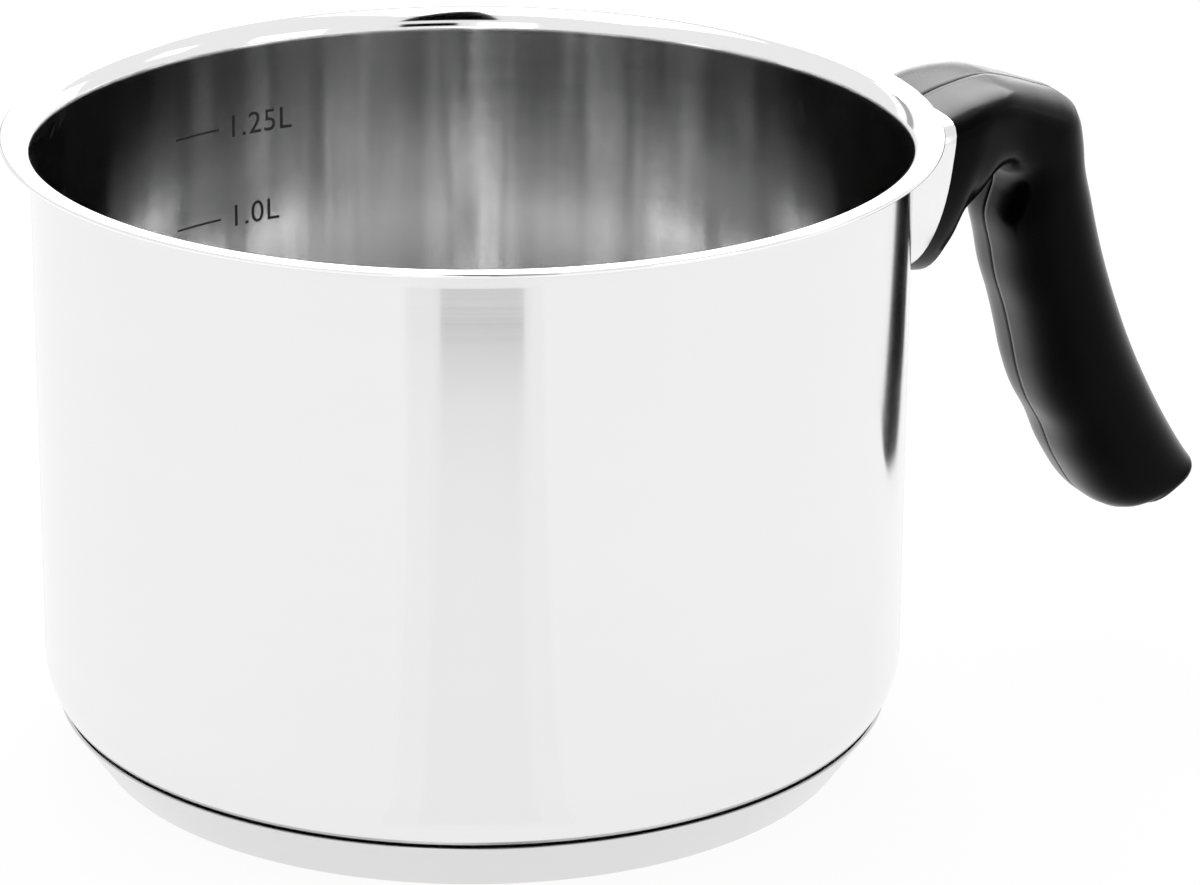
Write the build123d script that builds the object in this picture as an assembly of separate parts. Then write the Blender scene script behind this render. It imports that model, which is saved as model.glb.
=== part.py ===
from build123d import *
import math
import os

# A small milk pan: a steel shell with a turned-out pouring rim, a thick layered base and one fixed
# side handle that drops down beside the wall. Nothing on it moves.
# Millimetres. The origin is the centre of the underside, +Z is up and the handle points along +X.

# Pot shell, drawn from one sheet
INNER_RADIUS = 70.0
SHEET = 0.8
PAN_HEIGHT = 104.8
CORNER_RADIUS = 12.5
RIM_BEND_RADIUS = 4.0
RIM_REACH = 5.7

# Layered base: an aluminium core pressed between the shell and a steel cap
CAP_SHEET = 0.8
CORE_THICKNESS = 3.8
CORE_EDGE_DROP = 1.6
CAP_STEP = 0.9
CAP_LEAN = 35.0
CAP_EDGE_RADIUS = 1.0
JOINT_HEIGHT = 9.0

# Arm of the handle: the part from the flame guard over the crook where a finger hooks in.
# Each rung hangs from a top point and ends at an under point of the middle plane. Both are
# shares of the arm's reach out from the wall and of its height above the foot.
HANDLE_DROP = 33.0
ARM_REACH = 37.4
ARM_HEIGHT = 31.4
ARM_UNDER_SHARES = [(0.142, 0.00), (0.226, -0.03), (0.307, 0.215), (0.390, 0.38), (0.465, 0.51),
                    (0.535, 0.562), (0.604, 0.52), (0.633, 0.457), (0.633, 0.395), (0.618, 0.335)]
ARM_TOP_SHARES = [(0.242, 0.912), (0.321, 0.947), (0.406, 0.974), (0.487, 0.995), (0.572, 1.003),
                  (0.674, 0.977), (0.820, 0.919), (0.950, 0.851), (0.984, 0.71), (1.0, 0.524)]

# Cross-section of each rung: half width, where the widest line lies, and how square each half is
ROOT_HALF_WIDTH = 15.5
GRIP_HALF_WIDTH = 12.3
ARM_WIDTH_SHARES = [1.0, 0.95, 0.84, 0.62, 0.41, 0.23, 0.12, 0.06, 0.0, 0.0]
BELT_SHARES = [0.72, 0.71, 0.67, 0.60, 0.55, 0.50, 0.50, 0.50, 0.50, 0.50]
UNDER_POWERS = [2.0, 2.0, 2.2, 3.0, 3.5, 3.5, 3.4, 3.2, 3.1, 3.0]
TOP_POWERS = [6.5, 6.4, 5.7, 4.8, 3.8, 3.0, 2.7, 2.6, 2.8, 3.0]
GRIP_UNDER_POWER = 3.0
GRIP_TOP_POWER = 3.1
MIDDLE_SHARE = 0.5
RUNG_STEPS = 16

# Grip of the handle: bent away from the pot round a far centre. Its thicknesses stand at even steps
# down the outer line and make the soft finger waves. The tail rounds off as a squarish quarter.
SHOULDER_REACH = 36.6
SHOULDER_DROP = 9.6
SHOULDER_LEAN = 7.5
GRIP_BEND_RADIUS = 145.0
GRIP_START = 13.0
GRIP_STEP = 5.25
GRIP_THICKNESSES = [17.0, 17.1, 17.5, 17.4, 17.9, 18.8, 19.2, 18.8, 19.3]
TAIL_LENGTH = 12.8
TAIL_DEPTH = 14.0
TAIL_HALF_WIDTH = 11.7
TAIL_POWER = 4.3
TAIL_EDGE_RADIUS = 1.0
TAIL_ANGLES = [0, 8, 20, 36, 54, 72]
TAIL_EDGE_ANGLE = 55

# Flame guard: a short steel sleeve that keeps the plastic handle away from the wall
GUARD_SHEET = 0.6
GUARD_SLOPE = 7.8
GUARD_FOOT_RISE = 1.2
SPIGOT_LENGTH = 4.0
FIT_CLEARANCE = 0.2

# Handle bracket: a bent steel strip, spot-welded to the wall inside the guard
BRACKET_SHEET = 2.0
BRACKET_WIDTH = 12.0
BRACKET_BEND_RADIUS = 1.5
BRACKET_LEG = 14.4
TONGUE_REACH = 19.2
TONGUE_DROP = 12.4
POCKET_CLEARANCE = 0.3

# Fixing screw from below, through the plastic and the bracket's tongue into a captive nut
SCREW_REACH = 14.2
SCREW_DIAMETER = 4.0
SCREW_HEAD_DIAMETER = 7.5
SCREW_HEAD_HEIGHT = 2.6
SCREW_HEAD_EDGE = 0.9
SCREW_TIP = 0.4
DRIVE_SLOT_WIDTH = 1.0
DRIVE_SLOT_LENGTH = 4.2
DRIVE_SLOT_DEPTH = 1.5
THREAD_CLEARANCE = 0.05
HOLE_CLEARANCE = 0.25
CLAMPED_THICKNESS = 3.0
RECESS_CLEARANCE = 0.5
NUT_FLATS = 7.0
NUT_HEIGHT = 3.2
WASHER_THICKNESS = 0.9
WASHER_DIAMETER = 7.4
WASHER_SPLIT = 0.8

# How far every cutting shape runs past what it cuts
OVERRUN = 5.0

# Places that follow from the sizes above
WALL_RADIUS = INNER_RADIUS + SHEET
RIM_RADIUS = INNER_RADIUS + RIM_REACH
SHELL_UNDERSIDE = CAP_SHEET + CORE_THICKNESS
INNER_FLOOR = SHELL_UNDERSIDE + SHEET
CORNER_DROP = SHELL_UNDERSIDE + CORNER_RADIUS - JOINT_HEIGHT
JOINT_SHELL_RADIUS = WALL_RADIUS - CORNER_RADIUS + math.sqrt(CORNER_RADIUS**2 - CORNER_DROP**2)
JOINT_RADIUS = JOINT_SHELL_RADIUS + CAP_STEP
FOOT_HEIGHT = PAN_HEIGHT - HANDLE_DROP
SCREW_X = WALL_RADIUS + SCREW_REACH
TONGUE_UNDERSIDE = PAN_HEIGHT - TONGUE_DROP
TONGUE_TOP = TONGUE_UNDERSIDE + BRACKET_SHEET
NUT_TOP = TONGUE_TOP + NUT_HEIGHT
SCREW_SEAT = TONGUE_UNDERSIDE - CLAMPED_THICKNESS
HEAD_FACE = SCREW_SEAT - WASHER_THICKNESS
HEAD_BOTTOM = HEAD_FACE - SCREW_HEAD_HEIGHT


def turned(outline):
    """Solid of revolution about Z from a closed outline in radius and height."""
    return revolve(make_face(Plane.XZ * outline), Axis.Z)


def upright(radius, bottom, top, x=0):
    """Upright cylinder between two heights."""
    return Pos(x, 0, bottom) * Cylinder(radius, top - bottom, align=(Align.CENTER, Align.CENTER, Align.MIN))


def block(x_range, half_width, z_range):
    """Box between two x planes and two heights, centred on the middle plane."""
    centre = Pos(sum(x_range) / 2, 0, sum(z_range) / 2)
    return centre * Box(x_range[1] - x_range[0], 2 * half_width, z_range[1] - z_range[0])


def shell_outside():
    """Outer face of the shell as a path from the axis up to the rim's edge."""
    corners = [(0, SHELL_UNDERSIDE), (WALL_RADIUS, SHELL_UNDERSIDE),
               (WALL_RADIUS, PAN_HEIGHT - SHEET), (RIM_RADIUS - SHEET / 2, PAN_HEIGHT - SHEET)]
    return FilletPolyline(*corners, radius=[CORNER_RADIUS, RIM_BEND_RADIUS - SHEET])


def shell_inside():
    """Inner face of the shell, one sheet away from the outer face."""
    corners = [(0, INNER_FLOOR), (INNER_RADIUS, INNER_FLOOR),
               (INNER_RADIUS, PAN_HEIGHT), (RIM_RADIUS - SHEET / 2, PAN_HEIGHT)]
    return FilletPolyline(*corners, radius=[CORNER_RADIUS - SHEET, RIM_BEND_RADIUS])


def make_pot_body():
    """Deep-drawn shell with its wall, its rounded corner and its turned-out rim."""
    rim_edge = CenterArc((RIM_RADIUS - SHEET / 2, PAN_HEIGHT - SHEET / 2), SHEET / 2, -90, 180)
    axis_side = Line((0, SHELL_UNDERSIDE), (0, INNER_FLOOR))
    return turned(shell_outside() + rim_edge + shell_inside() + axis_side)


def shell_envelope():
    """Everything the shell fills or encloses, up to the start of the rim's bend."""
    corners = [(0, SHELL_UNDERSIDE), (WALL_RADIUS, SHELL_UNDERSIDE), (WALL_RADIUS, PAN_HEIGHT)]
    closing = Polyline((WALL_RADIUS, PAN_HEIGHT), (0, PAN_HEIGHT), (0, SHELL_UNDERSIDE))
    return turned(FilletPolyline(*corners, radius=CORNER_RADIUS) + closing)


def cap_cone(inset, top):
    """Solid inside the cap's dished side, drawn in square to the sheet by an inset."""
    lean = math.radians(CAP_LEAN)
    side_inset = inset / math.cos(lean)
    bottom_radius = JOINT_RADIUS - (JOINT_HEIGHT - inset) * math.tan(lean) - side_inset
    top_radius = JOINT_RADIUS - (JOINT_HEIGHT - top) * math.tan(lean) - side_inset
    side = FilletPolyline((0, inset), (bottom_radius, inset), (top_radius, top), radius=CAP_EDGE_RADIUS)
    return turned(side + Polyline((top_radius, top), (0, top), (0, inset)))


def make_base_cap(envelope):
    """Dished steel cap whose edge laps the shell's corner and stands proud of it."""
    return cap_cone(0, JOINT_HEIGHT) - cap_cone(CAP_SHEET, JOINT_HEIGHT + OVERRUN) - envelope


def make_base_core(envelope):
    """Aluminium heat-spreading core, which fills the cap under the shell."""
    return cap_cone(CAP_SHEET, JOINT_HEIGHT - CORE_EDGE_DROP) - envelope


def half_section(start, middle, end, power):
    """Half of a rung's outline: a quarter-rounded curve over one middle point."""
    centre = (start + end) / 2
    points = [start]
    for step in range(1, RUNG_STEPS):
        angle = math.pi * step / RUNG_STEPS
        across = math.copysign(abs(math.cos(angle)) ** (2 / power), math.cos(angle))
        along = math.sin(angle) ** (2 / power)
        points.append(centre + (start - centre) * across + (middle - centre) * along)
    points.append(end)
    return Spline(points, tangents=[middle - centre, centre - middle])


def rung(under, top, half_width, belt, under_power, top_power):
    """Closed section outline hung between an under point and a top point of the middle plane."""
    centre = under + (top - under) * belt
    near = centre - Vector(0, half_width, 0)
    far = centre + Vector(0, half_width, 0)
    over = half_section(far, top, near, top_power)
    back = half_section(near, under, far, under_power)
    return Wire([over, back])


def arm_point(shares):
    """Point of the middle plane from its shares of the arm's reach and height."""
    return Vector(WALL_RADIUS + ARM_REACH * shares[0], 0, FOOT_HEIGHT + ARM_HEIGHT * shares[1])


def arm_rungs():
    """Rungs from the flame guard over the crest and round the back of the crook."""
    rungs = []
    rows = zip(ARM_UNDER_SHARES, ARM_TOP_SHARES, ARM_WIDTH_SHARES, BELT_SHARES, UNDER_POWERS, TOP_POWERS)
    for under, top, width, belt, under_power, top_power in rows:
        half_width = GRIP_HALF_WIDTH + (ROOT_HALF_WIDTH - GRIP_HALF_WIDTH) * width
        rungs.append(rung(arm_point(under), arm_point(top), half_width, belt, under_power, top_power))
    return rungs


def grip_point(travel, depth):
    """Point of the middle plane at a travel down the grip's outer line and a depth in from it."""
    lean = math.radians(SHOULDER_LEAN)
    centre_x = WALL_RADIUS + SHOULDER_REACH + GRIP_BEND_RADIUS * math.cos(lean)
    centre_z = PAN_HEIGHT - SHOULDER_DROP + GRIP_BEND_RADIUS * math.sin(lean)
    angle = lean + travel / GRIP_BEND_RADIUS
    radius = GRIP_BEND_RADIUS + depth
    return Vector(centre_x - radius * math.cos(angle), 0, centre_z - radius * math.sin(angle))


def grip_rung(travel, outer_depth, inner_depth, half_width):
    """Rung across the grip between two depths at one travel."""
    under = grip_point(travel, inner_depth)
    top = grip_point(travel, outer_depth)
    return rung(under, top, half_width, MIDDLE_SHARE, GRIP_UNDER_POWER, GRIP_TOP_POWER)


def grip_rungs():
    """Rungs down the grip at even steps, then round the tail and in over its edge."""
    rungs = []
    for step, thickness in enumerate(GRIP_THICKNESSES[:-1]):
        rungs.append(grip_rung(GRIP_START + GRIP_STEP * step, 0, thickness, GRIP_HALF_WIDTH))
    tail_start = GRIP_START + GRIP_STEP * (len(GRIP_THICKNESSES) - 1)
    for degrees in TAIL_ANGLES:
        onward = math.sin(math.radians(degrees)) ** (2 / TAIL_POWER)
        inward = math.cos(math.radians(degrees)) ** (2 / TAIL_POWER)
        travel = tail_start + TAIL_LENGTH * onward
        depth = GRIP_THICKNESSES[-1] - TAIL_DEPTH * (1 - inward)
        half_width = TAIL_HALF_WIDTH + (GRIP_HALF_WIDTH - TAIL_HALF_WIDTH) * inward
        rungs.append(grip_rung(travel, 0, depth, half_width))
    edge_angle = math.radians(TAIL_EDGE_ANGLE)
    inset = TAIL_EDGE_RADIUS * (1 - math.cos(edge_angle))
    travel += TAIL_EDGE_RADIUS * math.sin(edge_angle)
    rungs.append(grip_rung(travel, inset, depth - inset, half_width - inset))
    return rungs


def guard_rung(distance, inset):
    """Outline of the guard at a distance back from the handle's end, drawn in by an inset."""
    under = arm_point(ARM_UNDER_SHARES[0])
    top = arm_point(ARM_TOP_SHARES[0])
    share = distance / (top.X - WALL_RADIUS)
    slope = math.tan(math.radians(GUARD_SLOPE))
    back_top = Vector(WALL_RADIUS, 0, top.Z - (top.X - WALL_RADIUS) * slope)
    back_under = Vector(WALL_RADIUS, 0, under.Z + GUARD_FOOT_RISE)
    top = top + (back_top - top) * share
    under = under + (back_under - under) * share
    inward = (top - under).normalized() * inset
    half_width = ROOT_HALF_WIDTH - inset
    return rung(under + inward, top - inward, half_width, BELT_SHARES[0], UNDER_POWERS[0], TOP_POWERS[0])


def guard_block(start, end, inset):
    """Solid inside the guard's outline between two distances back from the handle's end."""
    return Solid.make_loft([guard_rung(start, inset), guard_rung(end, inset)], True)


def wall_depth():
    """How far back the guard's outline must run to pass right through the wall."""
    return ARM_REACH * ARM_TOP_SHARES[0][0] + OVERRUN


def make_flame_guard(envelope):
    """Steel sleeve cut to the curve of the wall and flush with the handle's end."""
    outside = guard_block(0, wall_depth(), 0)
    inside = guard_block(-OVERRUN, wall_depth() + OVERRUN, GUARD_SHEET)
    return outside - inside - envelope


def make_handle_bracket(envelope):
    """Bent strip: a leg on the wall and a tongue that runs out into the handle."""
    inner_x = WALL_RADIUS - BRACKET_SHEET
    outer_x = WALL_RADIUS + BRACKET_SHEET
    tip_x = WALL_RADIUS + TONGUE_REACH
    leg_bottom = TONGUE_TOP - BRACKET_LEG
    inside_bend = FilletPolyline((outer_x, leg_bottom), (outer_x, TONGUE_UNDERSIDE),
                                 (tip_x, TONGUE_UNDERSIDE), radius=BRACKET_BEND_RADIUS)
    tip = Line((tip_x, TONGUE_UNDERSIDE), (tip_x, TONGUE_TOP))
    outside_bend = FilletPolyline((tip_x, TONGUE_TOP), (WALL_RADIUS, TONGUE_TOP),
                                  (WALL_RADIUS, leg_bottom + BRACKET_SHEET),
                                  radius=BRACKET_BEND_RADIUS + BRACKET_SHEET)
    back = Polyline((WALL_RADIUS, leg_bottom + BRACKET_SHEET), (inner_x, leg_bottom + BRACKET_SHEET),
                    (inner_x, leg_bottom), (outer_x, leg_bottom))
    strip = extrude(make_face(Plane.XZ * (inside_bend + tip + outside_bend + back)),
                    BRACKET_WIDTH / 2, both=True)
    hole = upright(SCREW_DIAMETER / 2 + HOLE_CLEARANCE, TONGUE_UNDERSIDE - OVERRUN,
                   TONGUE_TOP + OVERRUN, SCREW_X)
    return strip - hole - envelope


def make_bracket_nut():
    """Hexagon nut that lies on the tongue."""
    flats = RegularPolygon(NUT_FLATS / 2, 6, major_radius=False)
    body = extrude(Pos(SCREW_X, 0, TONGUE_TOP) * flats, NUT_HEIGHT)
    bore = upright(SCREW_DIAMETER / 2 + THREAD_CLEARANCE, TONGUE_TOP - OVERRUN, NUT_TOP + OVERRUN, SCREW_X)
    return body - bore


def make_handle_screw():
    """Pan-head screw, head down, with a cross slot."""
    head = upright(SCREW_HEAD_DIAMETER / 2, HEAD_BOTTOM, HEAD_FACE, SCREW_X)
    head = fillet(head.edges().group_by(Axis.Z)[0], SCREW_HEAD_EDGE)
    shank = upright(SCREW_DIAMETER / 2, HEAD_FACE, NUT_TOP + SCREW_TIP, SCREW_X)
    slot = Box(DRIVE_SLOT_LENGTH, DRIVE_SLOT_WIDTH, 2 * DRIVE_SLOT_DEPTH)
    cross = Pos(SCREW_X, 0, HEAD_BOTTOM) * (slot + Rot(0, 0, 90) * slot)
    return head + shank - cross


def make_lock_washer():
    """Split spring washer between the screw's head and the plastic."""
    disc = upright(WASHER_DIAMETER / 2, HEAD_FACE, SCREW_SEAT, SCREW_X)
    hole = upright(SCREW_DIAMETER / 2 + HOLE_CLEARANCE, HEAD_FACE - OVERRUN, SCREW_SEAT + OVERRUN, SCREW_X)
    split = Pos(SCREW_X, WASHER_DIAMETER / 2, HEAD_FACE) * Box(WASHER_SPLIT, WASHER_DIAMETER, 2 * OVERRUN)
    return disc - hole - split


def make_handle():
    """Plastic moulding: arm, crook, grip and the spigot that enters the guard."""
    moulding = Solid.make_loft(arm_rungs() + grip_rungs(), False)
    spigot = guard_block(-SPIGOT_LENGTH / 2, SPIGOT_LENGTH, GUARD_SHEET + FIT_CLEARANCE)
    tongue_slot = block((WALL_RADIUS, WALL_RADIUS + TONGUE_REACH + POCKET_CLEARANCE),
                        BRACKET_WIDTH / 2 + POCKET_CLEARANCE,
                        (TONGUE_UNDERSIDE, TONGUE_TOP + POCKET_CLEARANCE))
    nut_end = SCREW_X + NUT_FLATS / math.sqrt(3) + POCKET_CLEARANCE
    nut_channel = block((WALL_RADIUS, nut_end), NUT_FLATS / 2 + POCKET_CLEARANCE,
                        (TONGUE_TOP, NUT_TOP + SCREW_TIP + POCKET_CLEARANCE))
    hole = upright(SCREW_DIAMETER / 2 + HOLE_CLEARANCE, SCREW_SEAT - OVERRUN,
                   TONGUE_UNDERSIDE + BRACKET_SHEET, SCREW_X)
    recess = upright(SCREW_HEAD_DIAMETER / 2 + RECESS_CLEARANCE, FOOT_HEIGHT - OVERRUN, SCREW_SEAT, SCREW_X)
    return moulding + spigot - tongue_slot - nut_channel - hole - recess


envelope = shell_envelope()
pieces = {
    "pot_body": make_pot_body(),
    "base_core": make_base_core(envelope),
    "base_cap": make_base_cap(envelope),
    "handle_bracket": make_handle_bracket(envelope),
    "bracket_nut": make_bracket_nut(),
    "flame_guard": make_flame_guard(envelope),
    "handle": make_handle(),
    "handle_screw": make_handle_screw(),
    "lock_washer": make_lock_washer(),
}

os.makedirs("parts", exist_ok=True)
for name, shape in pieces.items():
    export_step(shape, f"parts/{name}.step")
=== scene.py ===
# %% [markdown]
# # A steel milk pan, dressed in Blender
# The pan comes from a CAD program: nine solids, in metres, standing on z = 0 with the handle along +X.
# This lesson loads them, puts finer surfaces over the four pieces that show, gives every piece its
# finish, and lights the pan on a white table. Each piece stays where the CAD solid is, so its sizes
# are the CAD sizes, written once in millimetres.

# %% Load the frame
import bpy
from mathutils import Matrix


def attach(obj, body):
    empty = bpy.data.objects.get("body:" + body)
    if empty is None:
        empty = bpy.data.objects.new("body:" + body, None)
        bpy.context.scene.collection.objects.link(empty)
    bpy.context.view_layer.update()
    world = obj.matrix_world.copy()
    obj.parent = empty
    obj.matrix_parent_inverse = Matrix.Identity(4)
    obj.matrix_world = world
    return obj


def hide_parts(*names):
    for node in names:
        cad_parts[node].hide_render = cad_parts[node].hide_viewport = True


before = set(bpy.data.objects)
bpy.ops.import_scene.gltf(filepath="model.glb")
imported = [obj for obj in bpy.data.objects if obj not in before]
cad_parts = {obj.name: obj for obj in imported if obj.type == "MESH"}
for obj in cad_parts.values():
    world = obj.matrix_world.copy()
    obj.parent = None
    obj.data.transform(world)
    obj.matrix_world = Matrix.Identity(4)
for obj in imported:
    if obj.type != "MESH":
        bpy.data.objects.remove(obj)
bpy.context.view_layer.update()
print("CAD nodes:", ", ".join(sorted(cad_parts)))

# %% Libraries and units
import math

import bmesh
import bpy
import numpy as np
from mathutils import Matrix, Vector

MM = 0.001


def around(degrees):
    """Unit vector in the floor plane at an angle from the handle, turning from +X to +Y."""
    return Vector((math.cos(math.radians(degrees)), math.sin(math.radians(degrees)), 0))


print("One millimetre is", MM, "Blender metres")

# %% [markdown]
# ## The camera
# The camera comes before the pieces, because everything after it is judged through it. It was fitted
# to the ellipses of the rim and the base: 784 mm from the axis, 342 mm up, looking 20.4 degrees down.
# The lens is long, as in a product studio, and a small sideways shift puts the pan left of the middle.

# %% Camera
PHOTO_WIDTH = 1200
FOCAL_PIXELS = 5098.53
CENTRE_COLUMN = 492.354
CAMERA_DISTANCE = 784.2 * MM
CAMERA_HEIGHT = 341.6 * MM
CAMERA_DOWN = 20.366
HANDLE_TURN = 22.0
CAMERA_YAW = 0.24

lens = bpy.data.cameras.new("studio_camera")
lens.sensor_width = 36.0
lens.lens = lens.sensor_width * FOCAL_PIXELS / PHOTO_WIDTH
lens.shift_x = (PHOTO_WIDTH / 2 - CENTRE_COLUMN) / PHOTO_WIDTH
camera = bpy.data.objects.new("studio_camera", lens)
camera.location = around(-90 - HANDLE_TURN) * CAMERA_DISTANCE + Vector((0, 0, CAMERA_HEIGHT))
camera.rotation_euler = (math.radians(90 - CAMERA_DOWN), 0, math.radians(-HANDLE_TURN - CAMERA_YAW))
bpy.context.scene.collection.objects.link(camera)
bpy.context.scene.camera = camera
print("Lens", round(lens.lens, 1), "mm, camera at", [round(v, 3) for v in camera.location])

# %% [markdown]
# ## Maths on shader sockets
# Brushed steel and moulded plastic need masks, and masks are sums. Wiring Math nodes one by one hides
# the sum, so `Field` wraps a socket and overloads the operators: `1 - mask * 0.5` adds its own nodes.
# `Finish` is a material being made. Its one method `node` makes any other node: type, settings, inputs.

# %% Field and Finish
class Field:
    """A varying number in a material, which Python's operators can work on."""

    def __init__(self, finish, socket):
        self.finish = finish
        self.socket = socket

    def maths(self, operation, first, second=0.0):
        return self.finish.node("ShaderNodeMath", {"operation": operation}, {0: first, 1: second})

    def __add__(self, other):
        return self.maths("ADD", self, other)

    def __sub__(self, other):
        return self.maths("SUBTRACT", self, other)

    def __mul__(self, other):
        return self.maths("MULTIPLY", self, other)

    def __rsub__(self, other):
        return self.maths("SUBTRACT", other, self)

    __radd__ = __add__
    __rmul__ = __mul__

    def __abs__(self):
        return self.maths("ABSOLUTE", self)

    def rise(self, start, end):
        """0 below start, 1 above end, and smooth between them."""
        return self.finish.node("ShaderNodeMapRange", {"interpolation_type": "SMOOTHSTEP"},
                                {"Value": self, "From Min": start, "From Max": end})


class Finish:
    """A material or world under construction."""

    def __init__(self, data):
        data.use_nodes = True
        self.data = data
        self.tree = data.node_tree
        self.tree.nodes.clear()

    def node(self, kind, settings=None, sockets=None, output=0):
        made = self.tree.nodes.new(kind)
        for name, value in (settings or {}).items():
            setattr(made, name, value)
        for name, value in (sockets or {}).items():
            if isinstance(value, Field):
                self.tree.links.new(value.socket, made.inputs[name])
            else:
                made.inputs[name].default_value = value
        return Field(self, made.outputs[output]) if len(made.outputs) else None

    def place(self, stretch=(1, 1, 1)):
        """Object coordinates in metres, stretched for a pattern."""
        spot = self.node("ShaderNodeTexCoord", output="Object")
        return self.node("ShaderNodeMapping", {"vector_type": "POINT"},
                         {"Vector": spot, "Scale": stretch})

    def noise(self, stretch, detail=2.0, roughness=0.5):
        """Noise whose grain is one unit across, after the stretch."""
        return self.node("ShaderNodeTexNoise", None,
                         {"Vector": self.place(stretch), "Scale": 1.0, "Detail": detail,
                          "Roughness": roughness})

    def blend(self, factor, first, second):
        """Colour between two greys by a varying factor."""
        return self.node("ShaderNodeMix", {"data_type": "RGBA"},
                         {"Factor": factor, 6: grey(first), 7: grey(second)}, output=2)

    def bump(self, height, distance):
        """A surface that stands out by a distance in metres where the height is 1."""
        return self.node("ShaderNodeBump", None,
                         {"Height": height, "Distance": distance, "Strength": 1.0})

    def surface(self, sockets):
        shader = self.node("ShaderNodeBsdfPrincipled", None, sockets)
        self.node("ShaderNodeOutputMaterial", None, {"Surface": shader})
        return self.data


def grey(level):
    """Opaque grey."""
    return (level, level, level, 1)


def new_finish(name):
    return Finish(bpy.data.materials.new(name))


print("Shader helpers ready")

# %% [markdown]
# ## Steel finishes
# All the steel is one alloy, and the finish differs. Shell and cap are turned against an abrasive
# belt, which leaves hair-fine scratches round them. Two things show such a finish. The scratches
# themselves are noise that is squeezed a thousandfold in height and hardly at all round the pan. The
# shader's anisotropy then stretches each reflection across the scratches, so up and down, and keeps it
# crisp sideways. The inside is polished more, so that it mirrors itself several times over, and its
# colour swings strongly over soft upright clouds, which are painted reflection streaks. The rim is
# polished bright.

# %% Turned steel for the wall, the rim and the base cap
LINE_WIDTH = 0.22 * MM
LINES_PER_METRE_ROUND = 14
LINE_SHARE = 0.35
# The second stretch gives tall upright clouds: the inside's painted reflection streaks.
BANDS, PAINTED_REFLECTION_STREAKS = (9, 9, 90), (70, 70, 7)
ACROSS_THE_LINES = 0.25


def turned_steel(name, level, roughness, line_depth, streak, stretched=0.0, clouds=BANDS):
    """Steel with fine lines round the pan's axis, which stretch its reflections up and down."""
    finish = new_finish(name)
    fine = (LINES_PER_METRE_ROUND, LINES_PER_METRE_ROUND, 1 / LINE_WIDTH)
    lines = finish.noise(fine, detail=3.0, roughness=0.6)
    slow = finish.noise(clouds, detail=2.0)
    mixed = lines * LINE_SHARE + slow * (1 - LINE_SHARE)
    tone = finish.blend(mixed, level * (1 - streak), level * (1 + streak))
    gloss = ((lines - 0.5) * 0.5 + (slow - 0.5) * 0.5 + 1) * roughness
    return finish.surface({"Base Color": tone, "Metallic": 1.0, "Roughness": gloss,
                           "Anisotropic": stretched, "Anisotropic Rotation": ACROSS_THE_LINES,
                           "Normal": finish.bump(lines, line_depth)})


wall_steel = turned_steel("satin_turned_steel", 0.86, 0.13, 0.0003 * MM, 0.02, stretched=0.85)
rim_steel = turned_steel("polished_rim_steel", 0.96, 0.07, 0.0001 * MM, 0.01)
cap_steel = turned_steel("base_cap_steel", 0.74, 0.22, 0.0006 * MM, 0.04, stretched=0.6)
# The inside's colour swings strongly over tall upright clouds: painted reflection streaks, mixed with
# the turning lines.
inside_steel = turned_steel("turned_inside_steel", 0.73, 0.062, 0.00003 * MM, 0.34, stretched=1.0,
                            clouds=PAINTED_REFLECTION_STREAKS)
for steel in (wall_steel, rim_steel, cap_steel, inside_steel):
    print("Turned steel:", steel.name, "with", len(steel.node_tree.nodes), "nodes")

# %% [markdown]
# The small parts are brushed up and down instead: the flame guard, the bracket, the nut and the screw.
# Brushing up and down means noise that is squeezed sideways. It could follow each part's own shape, but
# the parts are small and upright, so the noise takes x and y at high frequency and z at a low one.

# %% Brushed steel for the small parts
UPRIGHT_CLOUDS = (60, 60, 8)


def brushed_steel(name, level, roughness, grain, depth):
    """Steel with fine upright lines, one grain wide and about 60 mm long."""
    finish = new_finish(name)
    lines = finish.noise((1 / grain, 1 / grain, 16), detail=3.0, roughness=0.6)
    slow = finish.noise(UPRIGHT_CLOUDS, detail=2.0)
    tone = finish.blend(lines * 0.4 + slow * 0.6, level * 0.94, level * 1.05)
    gloss = (lines - 0.5) * 0.08 + (slow - 0.5) * 0.10 + roughness
    return finish.surface({"Base Color": tone, "Metallic": 1.0, "Roughness": gloss,
                           "Normal": finish.bump(lines, depth)})


guard_steel = brushed_steel("flame_guard_steel", 0.90, 0.20, 0.35 * MM, 0.0006 * MM)
bracket_steel = brushed_steel("pressed_bracket_steel", 0.60, 0.34, 0.6 * MM, 0.002 * MM)
fastener_steel = brushed_steel("fastener_steel", 0.62, 0.30, 0.3 * MM, 0.001 * MM)
core_aluminium = brushed_steel("core_aluminium", 0.70, 0.42, 0.8 * MM, 0.003 * MM)
print("Brushed finishes:", guard_steel.name, bracket_steel.name)

# %% [markdown]
# Two dark finishes go with the steel: near-black painted shade in the groove where the cap meets the
# shell, and the etched litre marks, where acid has left the steel rough and grey.

# %% Seam and etching
def dull_metal(name, level, roughness, grain):
    """Rough dark metal with a fine speckle."""
    finish = new_finish(name)
    speck = finish.noise((1 / grain, 1 / grain, 1 / grain), detail=2.0)
    tone = finish.blend(speck, level * 0.75, level * 1.25)
    return finish.surface({"Base Color": tone, "Metallic": 0.6,
                           "Roughness": (speck - 0.5) * 0.2 + roughness})


# The seam finish is painted shade: a near-black colour for the groove between cap and shell.
painted_seam_shade = dull_metal("seam_groove_painted_shade", 0.035, 0.55, 0.25 * MM)
etched_metal = dull_metal("etched_marks", 0.030, 0.60, 0.12 * MM)
print("Dull finishes:", painted_seam_shade.name, etched_metal.name)

# %% [markdown]
# ## Black phenolic
# The handle is a thermosetting moulding, matt black with a very fine mould texture. Two things show on
# the real one: the line where the halves of the mould met, which runs over the middle of the handle,
# and a soft unevenness in the shine where hands have rubbed it. The line lies at y = 0, so its mask is
# one sum on the object coordinate. The real handle goes quite black where it faces the eye and pale
# only where the eye skims along it, so the shine that comes straight back is tinted to a twentieth.

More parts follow.
